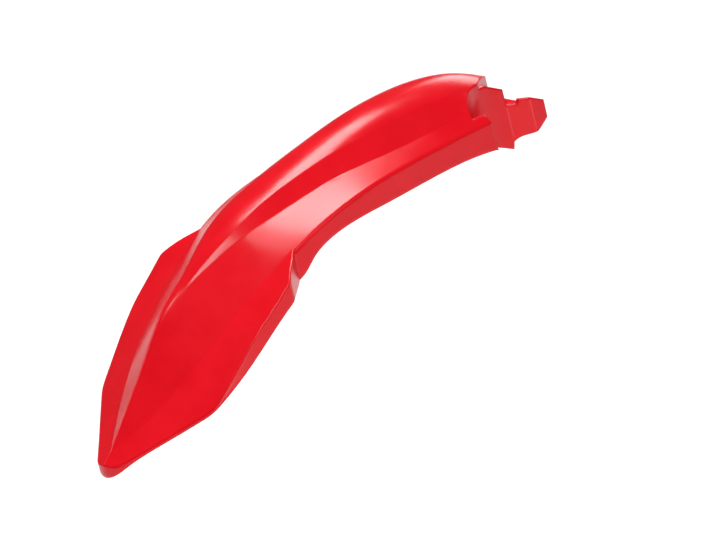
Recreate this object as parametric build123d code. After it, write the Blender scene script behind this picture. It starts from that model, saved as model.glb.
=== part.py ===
"""Motorcycle front mudguard: one moulded shell, open underneath.

Millimetres. X is across (+X the rider's left), -Y is forward, +Z is up along the
steering axis. The origin is the centre of the bolt pattern, on the top face of the
mounting platform. Lines below are given as distance ahead of the origin (-Y),
half width (X) and height (Z).
"""
import math
import os

from build123d import *

# the moulded wall
WALL = 3.0
# extra depth that keeps the sloping flanks at full wall thickness
FLANK_LEAN = 1.12

# crest of the guard: (ahead, height)
CREST = [
    (0, 35), (60, 60.3), (97, 67.6), (144, 69.8), (196, 66), (293, 46), (377, 19.5),
    (436, -16), (471.5, -39.5), (517, -91.8), (574, -155), (590, -174),
]
# edge of the raised plateau on top, which narrows to the ridge of the beak
PLATEAU = [
    (0, 32, 20), (94, 38, 54), (196, 35, 53), (243, 30, 48.8), (293, 26, 40.8),
    (338, 23, 30.4), (377, 20, 15.8), (405, 14.6, 0.5), (436, 8.2, -19),
    (471.5, 4, -42), (517, 2.5, -93.4), (574, 1, -155.6), (590, 0.6, -174.4),
]
# foot of the plateau's sloping side
FOOT = [
    (0, 46, 18), (60, 53, 35.5), (94, 57, 36), (166, 56, 32.8), (216, 52, 32.2),
    (266, 46, 29.2), (316, 40, 21.1), (367, 33, 10.6), (392, 24, 0.6), (419, 15, -12.4),
    (436, 11, -21.5), (471.5, 7.5, -44.8), (517, 5, -95.1), (574, 1.8, -156.1),
    (590, 1.2, -174.8),
]
# shoulder where the flank ends: the wing starts here, or the side wall
SHOULDER = [
    (0, 67, 20), (100, 70.5, 23.5), (168, 75, 22.8), (228, 80, 21.5), (314, 82.2, 6.3),
    (372, 78, -19), (426, 68.2, -50.3), (479, 54, -88.4), (523, 36.5, -122.5),
    (550, 19.5, -141.5), (574, 2.8, -156.5), (590, 1.8, -175.2),
]
# height of the wing panel out at WING_REACH: (ahead, height)
WING = [
    (344, -4), (370, -15.5), (401, -38.5), (432, -61), (462, -89), (493, -121),
    (540, -161.5), (600, -213),
]
WING_REACH = 110.0
# the wing panel meets the flank this far above the shoulder line
WING_JOIN = 1.2
# how far the panel is drawn past that reach before its plan is cut out
WING_SPARE = 30.0
# where the beak dies into the nose, and how fast the nose falls from there
BEAK_END = 574.0
NOSE_FALL = 0.75

# small step below the shoulder, and the draft of the side wall
LEDGE_OUT = 2.2
LEDGE_DROP = 2.6
SIDE_DRAFT = 0.045
# depth to which the side walls and the wing are drawn before the lower edge is cut
BLANK_DEPTH = 130.0

# plan of the wing as (half width, ahead): straight rear edge, rounded corner, bowed
# side, front corner, straight front edge and round tip
WING_ROOT = (70.0, 339.0)
WING_CORNER = (109.2, 384.0)
WING_CORNER_R = 9.0
WING_SIDE = (105.4, 440.0)
FRONT_CORNER = (93.5, 502.0)
FRONT_CORNER_R = 34.0
NOSE_TIP = 583.8
NOSE_TIP_R = 30.0

# lower edge seen from the side: (ahead, height)
SIDE_EDGE = [(76, -8.3), (105, -5), (160, -3.7), (230, -5), (287, -8)]
LIP_EDGE = [(316, -15), (331, -22.7), (347, -35.5), (362, -41.5), (380, -45)]
WING_EDGE = [(423, -72.4), (453, -94.4), (498, -123.5), (540, -146.8), (564, -160.3)]
TIP_EDGE = -175.8

# fork-leg recesses: upright cylinders that hollow the neck from both sides
NECK_HALF = 25.0
LEG_AHEAD = 30.5
LEG_RECESS_R = 65.0
LEG_X = NECK_HALF + LEG_RECESS_R

# the deck ends in a point over the neck; the side panels stick out as ears
DECK_POINT = 17.0
DECK_POINT_HALF = 30.0
DECK_POINT_FRONT = 52.0
EAR_LENGTH = 22.5
EAR_LAP = 2.5
EAR_FRONT = LEG_AHEAD + LEG_RECESS_R + EAR_LAP
EAR_REAR = EAR_FRONT - EAR_LAP - EAR_LENGTH
EAR_INNER = 63.0

# neck: its top climbs forward to the deck, its lower edge hangs below the tail
NECK_REAR = 19.0
NECK_CREST = [(NECK_REAR, 30.5), (40, 42), (DECK_POINT_FRONT, 42)]
NECK_EDGE = (NECK_REAR + 2, -35)

# tail: it flares out behind the neck, with a platform between walls that end in a rim
TAIL_HALF = 42.0
TAIL_FLARE = -1.0
TAIL_FLARE_R = 5.0
TAIL_REAR = -17.0
TAIL_TOP = [(NECK_REAR, 13), (10, 12), (8, 17), (-2, 15.5), (TAIL_REAR, 7.5)]
TAIL_EDGE = [(TAIL_REAR, -11.5), (-8, -18), (0, -22), (9, -23), (NECK_REAR, -27.5)]

# four mounting bolts around the hole for the steering stem
BOLT_PITCH_X = 34.0
BOLT_PITCH_Y = 18.0
BOLT_HOLE_R = 3.25
STEM_HOLE_R = 9.0

# where the lengthwise surfaces take their sections
BEAK_STATIONS = [
    0, 35, 70, 105, 145, 190, 240, 290, 335, 375, 405, 430, 450, 475, 500, 523, 540,
]
BEAK_TIP = [556, 570, 582]
BEAK_TIP_INSIDE = [556]
WING_STATIONS = [330, 355, 375, 405, 430, 450, 475, 500, 523, 540, 556, 570, 582, 596]

# reach of the blocks that cut, well past the guard
FAR = 400.0


def along(line, ahead):
    """Point of a feature line at one station, as a smooth curve through its points."""
    last = len(line) - 1
    i = 0
    while i < last - 1 and line[i + 1][0] < ahead:
        i += 1

    def slope(k, axis):
        a = line[max(k - 1, 0)]
        b = line[min(k + 1, last)]
        return (b[axis] - a[axis]) / (b[0] - a[0])

    start = line[i]
    end = line[i + 1]
    span = end[0] - start[0]
    t = (ahead - start[0]) / span
    values = []
    for axis in range(1, len(start)):
        h0 = (1 + 2 * t) * (1 - t) ** 2
        h1 = t * (1 - t) ** 2
        h2 = t * t * (3 - 2 * t)
        h3 = t * t * (t - 1)
        values.append(
            h0 * start[axis] + h1 * span * slope(i, axis)
            + h2 * end[axis] + h3 * span * slope(i + 1, axis)
        )
    return values


def steepness(ahead):
    """How much longer a vertical cut through the wall is than the wall is thick."""
    rise = along(CREST, ahead + WALL)[0] - along(CREST, ahead - WALL)[0]
    return math.hypot(1, rise / (2 * WALL))


def beak_section(ahead, inset):
    """Closed outline of the beak and deck across one station."""
    top = along(CREST, ahead)[0]
    plateau = along(PLATEAU, ahead)
    foot = along(FOOT, ahead)
    shoulder = along(SHOULDER, ahead)
    ledge = (shoulder[0] + LEDGE_OUT, shoulder[1] - LEDGE_DROP)
    base = (ledge[0] + BLANK_DEPTH * SIDE_DRAFT, ledge[1] - BLANK_DEPTH)
    half = [tuple(plateau), tuple(foot), tuple(shoulder), ledge, base]
    if inset:
        depth = inset * steepness(ahead) * FLANK_LEAN
        top -= depth
        top_side = [(x, z - depth) for x, z in half[:2]]
        half = top_side + [(x - inset, z - depth) for x, z in half[2:]]
    right = [Vector(x, -ahead, z) for x, z in half]
    left = [Vector(-x, -ahead, z) for x, z in half]
    edges = [ThreePointArc(left[0], Vector(0, -ahead, top), right[0])]
    for a, b in zip(right, right[1:]):
        edges.append(Line(a, b))
    edges.append(Line(right[-1], left[-1]))
    for a, b in zip(left[::-1], left[-2::-1]):
        edges.append(Line(a, b))
    return Face(Wire(edges))


def beak(inset):
    """Beak, plateau, flanks and side walls as one solid, filled underneath."""
    stations = BEAK_STATIONS + (BEAK_TIP_INSIDE if inset else BEAK_TIP)
    return Part() + loft([beak_section(s, inset) for s in stations])


def upright(plan, low=-FAR, high=FAR):
    """A block standing on a plan."""
    return extrude(Pos(0, 0, low) * plan, high - low, dir=(0, 0, 1))


def wing_section(ahead, inset):
    """Outline of the wing panel across one station, much wider than the guard."""
    root = along(SHOULDER, min(ahead, BEAK_END))
    root_height = root[1] + WING_JOIN - NOSE_FALL * max(ahead - BEAK_END, 0)
    fall = (along(WING, ahead)[0] - root_height) / (WING_REACH - root[0])
    depth = inset * steepness(ahead)
    half = WING_REACH + WING_SPARE
    middle = root_height - fall * root[0] - depth
    outer = root_height + fall * (half - root[0]) - depth
    low = middle - BLANK_DEPTH
    return Face(Wire(Polyline(
        (-half, -ahead, outer), (0, -ahead, middle), (half, -ahead, outer),
        (half, -ahead, low), (-half, -ahead, low), close=True,
    )))


def wing_plan(inset):
    """Plan of the wing and nose as an upright block."""
    root = Vector(WING_ROOT[0], -WING_ROOT[1])
    corner = Vector(WING_CORNER[0], -WING_CORNER[1])
    side = Vector(WING_SIDE[0], -WING_SIDE[1])
    front = Vector(FRONT_CORNER[0], -FRONT_CORNER[1])
    tip = Vector(0, -NOSE_TIP)
    centre = Vector(0, NOSE_TIP_R - NOSE_TIP)
    reach = front - centre
    turn = math.acos(NOSE_TIP_R / reach.length) - math.atan2(reach.Y, reach.X)
    touch = centre + Vector(math.cos(turn), -math.sin(turn)) * NOSE_TIP_R
    middle = (turn + math.pi / 2) / 2
    halfway = centre + Vector(math.cos(middle), -math.sin(middle)) * NOSE_TIP_R
    half = Wire([
        Line(root, corner), ThreePointArc(corner, side, front), Line(front, touch),
        ThreePointArc(touch, halfway, tip), Line(tip, (0, root.Y)), Line((0, root.Y), root),
    ])
    face = Face(half)
    for point, radius in ((corner, WING_CORNER_R), (front, FRONT_CORNER_R)):
        sharp = [v for v in face.vertices() if (v.center() - point).length < 0.01]
        face = face.fillet_2d(radius, sharp)
    plan = Sketch() + face + mirror(face, Plane.YZ)
    if inset:
        plan = offset(plan, -inset, kind=Kind.INTERSECTION)
    return upright(plan)


def wing(inset):
    """Wing panels and nose rim as one solid."""
    panel = Part() + loft([wing_section(s, inset) for s in WING_STATIONS])
    return panel & wing_plan(inset)


def leg_recess(inset):
    """The two upright fork-leg recesses."""
    radius = LEG_RECESS_R + inset
    at = Locations((LEG_X, -LEG_AHEAD), (-LEG_X, -LEG_AHEAD))
    return upright(Sketch() + at * Circle(radius))


def deck(inset):
    """Beak cut back by the fork-leg recesses and to a point over the neck."""
    run = DECK_POINT_FRONT - DECK_POINT
    setback = inset * math.hypot(DECK_POINT_HALF, run) / DECK_POINT_HALF
    back = DECK_POINT + setback
    front = DECK_POINT_FRONT + setback
    plan = Polyline(
        (0, -back), (DECK_POINT_HALF, -front), (FAR, -front), (FAR, -2 * FAR),
        (-FAR, -2 * FAR), (-FAR, -front), (-DECK_POINT_HALF, -front), close=True,
    )
    return (beak(inset) & upright(make_face(plan))) - leg_recess(inset)


def crosswise(outline):
    """A block run right across the guard from an outline drawn from the side."""
    points = [Vector(-FAR, -ahead, height) for ahead, height in outline]
    return extrude(Face(Wire(Polyline(*points, close=True))), 2 * FAR, dir=(1, 0, 0))


def neck(inset):
    """Neck between the fork-leg recesses, filled from below."""
    rear = NECK_REAR + inset
    front = DECK_POINT_FRONT + inset
    (_, low_end), (knee, knee_top), (_, high_end) = NECK_CREST
    climb = (knee_top - low_end) / (knee - NECK_REAR)
    drop = inset * math.hypot(1, climb)
    side = [
        (rear, low_end + climb * inset - drop), (knee, knee_top - drop),
        (front, high_end - drop), (front, -FAR), (rear, -FAR),
    ]
    return crosswise(side) & upright(Rectangle(2 * LEG_X, 2 * FAR)) - leg_recess(inset)


def tail_plan(inset, rear, front):
    """Plan of the tail: it flares from the rear corners of the neck to its full width."""
    root = LEG_X - math.sqrt(LEG_RECESS_R ** 2 - (LEG_AHEAD - NECK_REAR) ** 2)
    right = [
        (NECK_HALF - WALL, -front), (root, -NECK_REAR),
        (TAIL_HALF, -TAIL_FLARE), (TAIL_HALF, -rear),
    ]
    left = [(-x, y) for x, y in reversed(right)]
    face = Face(Wire(Polyline(*right, *left, close=True)))
    flare = [Vector(side * TAIL_HALF, -TAIL_FLARE) for side in (1, -1)]
    sharp = [v for v in face.vertices() if min((v.center() - p).length for p in flare) < 0.01]
    plan = Sketch() + face.fillet_2d(TAIL_FLARE_R, sharp)
    return offset(plan, -inset, kind=Kind.INTERSECTION) if inset else plan


def tail(inset):
    """Tail up to its rim, or up to the underside of the platform for the inside."""
    plan = tail_plan(inset, TAIL_REAR, LEG_AHEAD)
    top = -inset if inset else max(height for _, height in TAIL_TOP)
    return upright(plan, -FAR, top)


def tray():
    """What is cleared above the platform: the inside of the tail and over its walls."""
    inside = upright(tail_plan(WALL, TAIL_REAR - FAR, NECK_REAR + WALL), 0, FAR)
    neck_top = NECK_CREST[0][1]
    behind = TAIL_REAR - FAR
    over = TAIL_TOP + [(behind, TAIL_TOP[-1][1]), (behind, neck_top), (NECK_REAR, neck_top)]
    return inside + crosswise(over)


def form(inset):
    """The whole guard as a filled form, shrunk by the wall for the inside."""
    return deck(inset) + wing(inset) + neck(inset) + tail(inset)


def ears():
    """Rear ends of the side panels, left standing outside the recesses."""
    skin = beak(0) - beak(WALL)
    length = EAR_FRONT - EAR_REAR
    plate = Box(FAR, length, 2 * FAR, align=(Align.MIN, Align.MAX, Align.CENTER))
    plates = Pos(EAR_INNER, -EAR_REAR) * plate
    plates += mirror(plates, Plane.YZ)
    return skin & plates


def below():
    """Everything under the lower edge, drawn from the side and run across."""
    def at(point):
        return Vector(-FAR, -point[0], point[1])

    skirt = Spline(*[at(p) for p in TAIL_EDGE])
    column = Polyline(at(TAIL_EDGE[-1]), at(NECK_EDGE), at(SIDE_EDGE[0]))
    side = Spline(*[at(p) for p in SIDE_EDGE + LIP_EDGE])
    tip = (NOSE_TIP, TIP_EDGE)
    rim = Spline(*[at(p) for p in LIP_EDGE[-1:] + WING_EDGE + [tip]])
    ahead = NOSE_TIP + FAR
    behind = TAIL_REAR - FAR
    close = Polyline(
        at(tip), at((ahead, TIP_EDGE)), at((ahead, -FAR)), at((behind, -FAR)),
        at((behind, TAIL_EDGE[0][1])), at(TAIL_EDGE[0]),
    )
    outline = skirt.edges() + column.edges() + side.edges() + rim.edges() + close.edges()
    return extrude(Face(Wire(outline)), 2 * FAR, dir=(1, 0, 0))


def holes():
    """Bolt holes and the steering-stem hole through the platform."""
    at = GridLocations(BOLT_PITCH_X, BOLT_PITCH_Y, 2, 2)
    drill = Sketch() + at * Circle(BOLT_HOLE_R) + Circle(STEM_HOLE_R)
    return upright(drill, -2 * WALL, 2 * WALL)


def mudguard():
    """The finished shell."""
    shell = form(0) - form(WALL)
    shell += ears()
    return shell - below() - tray() - holes()


if __name__ == "__main__":
    os.makedirs("parts", exist_ok=True)
    part = mudguard()
    part.label = "front_mudguard"
    export_step(part, "parts/front_mudguard.step")
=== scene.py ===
import itertools
import math

import bmesh
import bpy
import numpy as np
from mathutils import Matrix, Vector, kdtree
from mathutils.bvhtree import BVHTree


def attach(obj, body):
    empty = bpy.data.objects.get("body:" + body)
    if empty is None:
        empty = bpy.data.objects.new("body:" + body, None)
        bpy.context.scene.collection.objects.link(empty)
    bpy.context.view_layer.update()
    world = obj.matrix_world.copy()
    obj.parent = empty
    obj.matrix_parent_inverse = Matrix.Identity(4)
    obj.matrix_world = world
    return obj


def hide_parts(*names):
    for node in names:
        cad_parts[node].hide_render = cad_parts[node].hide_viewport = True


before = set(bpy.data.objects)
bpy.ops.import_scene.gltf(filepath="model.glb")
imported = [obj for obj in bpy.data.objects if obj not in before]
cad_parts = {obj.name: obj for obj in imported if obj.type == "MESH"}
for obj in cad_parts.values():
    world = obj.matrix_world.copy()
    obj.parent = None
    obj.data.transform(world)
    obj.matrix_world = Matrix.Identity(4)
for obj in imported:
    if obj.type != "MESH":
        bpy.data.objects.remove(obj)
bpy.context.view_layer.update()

scene = bpy.context.scene
scene.view_settings.view_transform = "Standard"

# the photograph's viewing direction: pitch and turn of the part, roll of the picture
PITCH = math.radians(31.0)
ROLL = math.radians(11.75)
TURN = math.acos(0.62)
METRES_PER_PIXEL = 0.001 / 0.985
PICTURE = (720, 540)
# a corner of the neck and the pixel where the photograph shows it
KNOWN_POINT = Vector((0.048, -0.034, 0.022))
KNOWN_PIXEL = (507, 104)
# the camera stands far off on a long lens, this far from the middle of the guard
CAMERA_AWAY = 16.0
CAMERA_SEES = 100.0
SENSOR = 36.0
MIDDLE = Vector((0, -0.28, 0))

# a fold of the solid sharper than this is an edge, and is marked by points this far apart
SHARP_FOLD = math.radians(5)
EDGE_STEP = 0.001
WELD_GAP = 1e-6
# the skin's triangles are this long beside an edge, and longer by this share of the way off
FINEST = 0.0021
GROWTH = 1.8
MOST_SPLITTING_ROUNDS = 40
# normals within this reach of an edge are evened out over a ball of this radius
EDGE_REACH = 0.0025
BALL_RADIUS = 0.0015

FLOOR_HEIGHT = -0.62
FLOOR_HALF = 12.0
FLOOR_COLOUR = (0.92, 0.92, 0.92, 1)
FLOOR_ROUGHNESS = 0.9
# where the lamp of a far soft box hangs, which doesn't change its light
FAR_LAMPS_AWAY = 4.0
WHITE = (1, 1, 1, 1)
# light of the dim room around
ROOM_LIGHT = 0.07

# the plastic: strength of its gloss, then a mottle that runs from the deep to the bright red
GLOSS = 0.28
DEEP_RED = (0.69, 0.004, 0.011, 1)
BRIGHT_RED = (0.74, 0.005, 0.013, 1)
MOTTLE_SCALE = 26.0
MOTTLE_DETAIL = 3.0
MOTTLE_LOW = 0.3
MOTTLE_HIGH = 0.7
SMOOTHEST = 0.20
ROUGHEST = 0.25
PEEL_SCALE = 420.0
PEEL_DETAIL = 1.0
PEEL_STRENGTH = 0.03
PEEL_DEPTH = 0.0004


def camera():
    """Camera at the photograph's angle, far away on a long lens."""
    along_axis = Vector((0, math.cos(PITCH), -math.sin(PITCH)))
    across = Vector((1, 0, 0)) * math.cos(TURN) + along_axis * math.sin(TURN)
    upward = Vector((0, math.sin(PITCH), math.cos(PITCH)))
    right = across * math.cos(ROLL) + upward * math.sin(ROLL)
    up = upward * math.cos(ROLL) - across * math.sin(ROLL)
    back = right.cross(up)
    offset_x = (PICTURE[0] / 2 - KNOWN_PIXEL[0]) * METRES_PER_PIXEL
    offset_y = (KNOWN_PIXEL[1] - PICTURE[1] / 2) * METRES_PER_PIXEL
    centre = KNOWN_POINT + right * offset_x + up * offset_y
    centre += back * (MIDDLE - centre).dot(back)
    data = bpy.data.cameras.new("camera")
    data.sensor_width = SENSOR
    data.lens = SENSOR * CAMERA_AWAY / (PICTURE[0] * METRES_PER_PIXEL)
    data.clip_end = CAMERA_SEES
    made = bpy.data.objects.new("camera", data)
    turn = Matrix((right, up, back)).transposed().to_4x4()
    made.matrix_world = Matrix.Translation(centre + back * CAMERA_AWAY) @ turn
    scene.collection.objects.link(made)
    scene.camera = made


def toward(heading, height):
    """Direction at a compass heading and a height over the horizon, both in degrees.

    Heading 0 is straight ahead of the guard and 90 is its left.
    """
    heading = math.radians(heading)
    height = math.radians(height)
    level = math.cos(height)
    return Vector((level * math.sin(heading), -level * math.cos(heading), math.sin(height)))


def lamp(data, direction, away):
    """Hang a lamp in a direction from the guard, turned to face it."""
    made = bpy.data.objects.new(data.name, data)
    made.location = MIDDLE + direction * away
    made.rotation_euler = direction.to_track_quat("Z", "Y").to_euler()
    scene.collection.objects.link(made)


def far_softbox(name, direction, width, radiance):
    """A round soft box far away, so that it lights guard and floor alike; width in degrees."""
    data = bpy.data.lights.new(name, "SUN")
    data.angle = math.radians(width)
    data.energy = radiance * 2 * math.pi * (1 - math.cos(data.angle / 2))
    lamp(data, direction, FAR_LAMPS_AWAY)


def near_softbox(name, direction, away, size, radiance):
    """A rectangular soft box close by."""
    data = bpy.data.lights.new(name, "AREA")
    data.shape = "RECTANGLE"
    data.size, data.size_y = size
    data.energy = radiance * math.pi * size[0] * size[1]
    lamp(data, direction, away)


def floor():
    """Plain pale floor, well below the guard."""
    h = FLOOR_HALF
    z = FLOOR_HEIGHT
    mesh = bpy.data.meshes.new("floor")
    mesh.from_pydata([(-h, -h, z), (h, -h, z), (h, h, z), (-h, h, z)], [], [(0, 1, 2, 3)])
    paint = bpy.data.materials.new("floor")
    paint.use_nodes = True
    shader = paint.node_tree.nodes["Principled BSDF"]
    shader.inputs["Base Color"].default_value = FLOOR_COLOUR
    shader.inputs["Roughness"].default_value = FLOOR_ROUGHNESS
    mesh.materials.append(paint)
    made = bpy.data.objects.new("floor", mesh)
    scene.collection.objects.link(made)


def studio():
    """Dim grey room with soft boxes where the photograph's gloss shows them."""
    world = bpy.data.worlds.new("studio")
    world.use_nodes = True
    sky = world.node_tree.nodes["Background"]
    sky.inputs["Color"].default_value = WHITE
    sky.inputs["Strength"].default_value = ROOM_LIGHT
    scene.world = world
    far_softbox("key", toward(-126, 68), width=26, radiance=14.5)
    far_softbox("overhead", toward(-60, 87), width=16, radiance=5.5)
    near_softbox("front_left", toward(53, 51), away=4.5, size=(1.25, 1.9), radiance=13.5)
    far_softbox("left_fill", toward(108, 40), width=22, radiance=2.2)
    near_softbox("ridge_line", toward(-58, 30), away=3.0, size=(0.8, 0.35), radiance=9.0)
    near_softbox("low_rear", toward(-150, 20), away=2.6, size=(1.2, 0.8), radiance=4.5)
    near_softbox("low_left", toward(86, -16), away=1.5, size=(0.4, 0.22), radiance=5.0)


def node(tree, kind, place, **values):
    """A shader node with some of its input sockets set."""
    made = tree.nodes.new(kind)
    made.location = place
    for socket, value in values.items():
        made.inputs[socket.replace("_", " ")].default_value = value
    return made


def red_plastic():
    """Glossy red moulded plastic with a faint mottle and orange peel."""
    made = bpy.data.materials.new("red_plastic")
    made.use_nodes = True
    tree = made.node_tree
    shader = tree.nodes["Principled BSDF"]
    shader.inputs["Specular IOR Level"].default_value = GLOSS
    place = node(tree, "ShaderNodeTexCoord", (-1100, 0))
    mottle = node(tree, "ShaderNodeTexNoise", (-850, 250), Scale=MOTTLE_SCALE, Detail=MOTTLE_DETAIL)
    tint = node(tree, "ShaderNodeValToRGB", (-600, 250))
    deep, bright = tint.color_ramp.elements
    deep.position = MOTTLE_LOW
    deep.color = DEEP_RED
    bright.position = MOTTLE_HIGH
    bright.color = BRIGHT_RED
    wear = node(tree, "ShaderNodeMapRange", (-600, 0), From_Min=MOTTLE_LOW, From_Max=MOTTLE_HIGH,
                To_Min=SMOOTHEST, To_Max=ROUGHEST)
    peel = node(tree, "ShaderNodeTexNoise", (-850, -300), Scale=PEEL_SCALE, Detail=PEEL_DETAIL)
    bump = node(tree, "ShaderNodeBump", (-350, -300), Strength=PEEL_STRENGTH, Distance=PEEL_DEPTH)
    tree.links.new(place.outputs["Object"], mottle.inputs["Vector"])
    tree.links.new(place.outputs["Object"], peel.inputs["Vector"])
    tree.links.new(mottle.outputs["Fac"], tint.inputs["Fac"])
    tree.links.new(mottle.outputs["Fac"], wear.inputs["Value"])
    tree.links.new(tint.outputs["Color"], shader.inputs["Base Color"])
    tree.links.new(wear.outputs["Result"], shader.inputs["Roughness"])
    tree.links.new(peel.outputs["Fac"], bump.inputs["Height"])
    tree.links.new(bump.outputs["Normal"], shader.inputs["Normal"])
    return made


def vectors(collection, field):
    """A mesh's vectors as an array with one row each."""
    flat = np.empty(len(collection) * 3)
    collection.foreach_get(field, flat)
    return flat.reshape(-1, 3)


def unit(rows):
    """Rows of an array scaled to length 1."""
    return rows / np.linalg.norm(rows, axis=1, keepdims=True)


def dot(rows, others):
    """Dot product of each row with the other array's row."""
    return np.einsum("ij,ij->i", rows, others)


def edge_tree(body):
    """Search tree of points along every fold of a mesh that counts as an edge."""
    points = []
    for edge in body.edges:
        if edge.calc_face_angle(0) > SHARP_FOLD:
            a, b = (v.co for v in edge.verts)
            steps = max(1, int((b - a).length / EDGE_STEP))
            points += [a.lerp(b, i / steps) for i in range(steps + 1)]
    tree = kdtree.KDTree(len(points))
    for i, point in enumerate(points):
        tree.insert(point, i)
    tree.balance()
    return tree


def distance(edges, place):
    """Distance from a place to the nearest edge."""
    _, _, away = edges.find(place)
    return away


def split_beside_edges(body, edges):
    """Halve the triangles that are too long for their distance to an edge, longest sides first."""
    off = {}
    for _ in range(MOST_SPLITTING_ROUNDS):
        for v in body.verts:
            if v not in off:
                off[v] = distance(edges, v.co)
        long = [side for side in body.edges
                if side.calc_length() > FINEST + GROWTH * min(off[v] for v in side.verts)]
        long.sort(key=lambda side: -side.calc_length())
        split = []
        halved = set()
        for side in long:
            if halved.isdisjoint(side.link_faces):
                split.append(side)
                halved.update(side.link_faces)
        if not split:
            break
        bmesh.ops.subdivide_edges(body, edges=split, cuts=1, use_single_edge=True)


class SolidNormals:
    """The solid's smooth normals, looked up at the point of it nearest to a place."""

    def __init__(self, solid):
        solid.calc_loop_triangles()
        triangles = solid.loop_triangles
        self.corners = np.array([t.vertices[:] for t in triangles])
        self.loops = np.array([t.loops[:] for t in triangles])
        self.spots = vectors(solid.vertices, "co")
        self.at_loop = vectors(solid.corner_normals, "vector")
        self.tree = BVHTree.FromPolygons(self.spots.tolist(), self.corners.tolist())

    def at(self, places):
        hits = [self.tree.find_nearest(place) for place in places]
        found = np.array([point for point, _, _, _ in hits])
        faces = np.array([face for _, _, face, _ in hits])
        a, b, c = (self.spots[self.corners[faces, k]] for k in range(3))
        whole = np.cross(b - a, c - a)
        size = dot(whole, whole)
        share_b = dot(np.cross(found - a, c - a), whole) / size
        share_c = dot(np.cross(b - a, found - a), whole) / size
        shares = np.stack([1 - share_b - share_c, share_b, share_c], axis=1)
        return unit(np.einsum("ik,ikj->ij", shares, self.at_loop[self.loops[faces]]))


def rounded_normals(solid, places, near):
    """The solid's normals, evened out over a small ball beside the edges, which then read as round."""
    lookup = SolidNormals(solid)
    normals = lookup.at(places)
    ways = [way for way in itertools.product((-1.0, 0.0, 1.0), repeat=3) if any(way)]
    for way in unit(np.array(ways)):
        normals[near] += lookup.at(places[near] + way * BALL_RADIUS)
    return unit(normals)


def moulded_skin(name):
    """The solid's skin, fine beside its edges, with each edge shaded round as moulding leaves it."""
    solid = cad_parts[name].data
    body = bmesh.new()
    body.from_mesh(solid)
    bmesh.ops.remove_doubles(body, verts=body.verts, dist=WELD_GAP)
    edges = edge_tree(body)
    split_beside_edges(body, edges)
    mesh = bpy.data.meshes.new("moulded_guard")
    body.to_mesh(mesh)
    body.free()
    places = vectors(mesh.vertices, "co")
    near = np.array([distance(edges, place) < EDGE_REACH for place in places])
    mesh.polygons.foreach_set("use_smooth", [True] * len(mesh.polygons))
    mesh.normals_split_custom_set_from_vertices(rounded_normals(solid, places, near).tolist())
    return mesh


camera()
floor()
studio()

guard = bpy.data.objects.new("moulded_guard", moulded_skin("front_mudguard"))
scene.collection.objects.link(guard)
guard.data.materials.append(red_plastic())
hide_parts("front_mudguard")
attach(guard, "root")
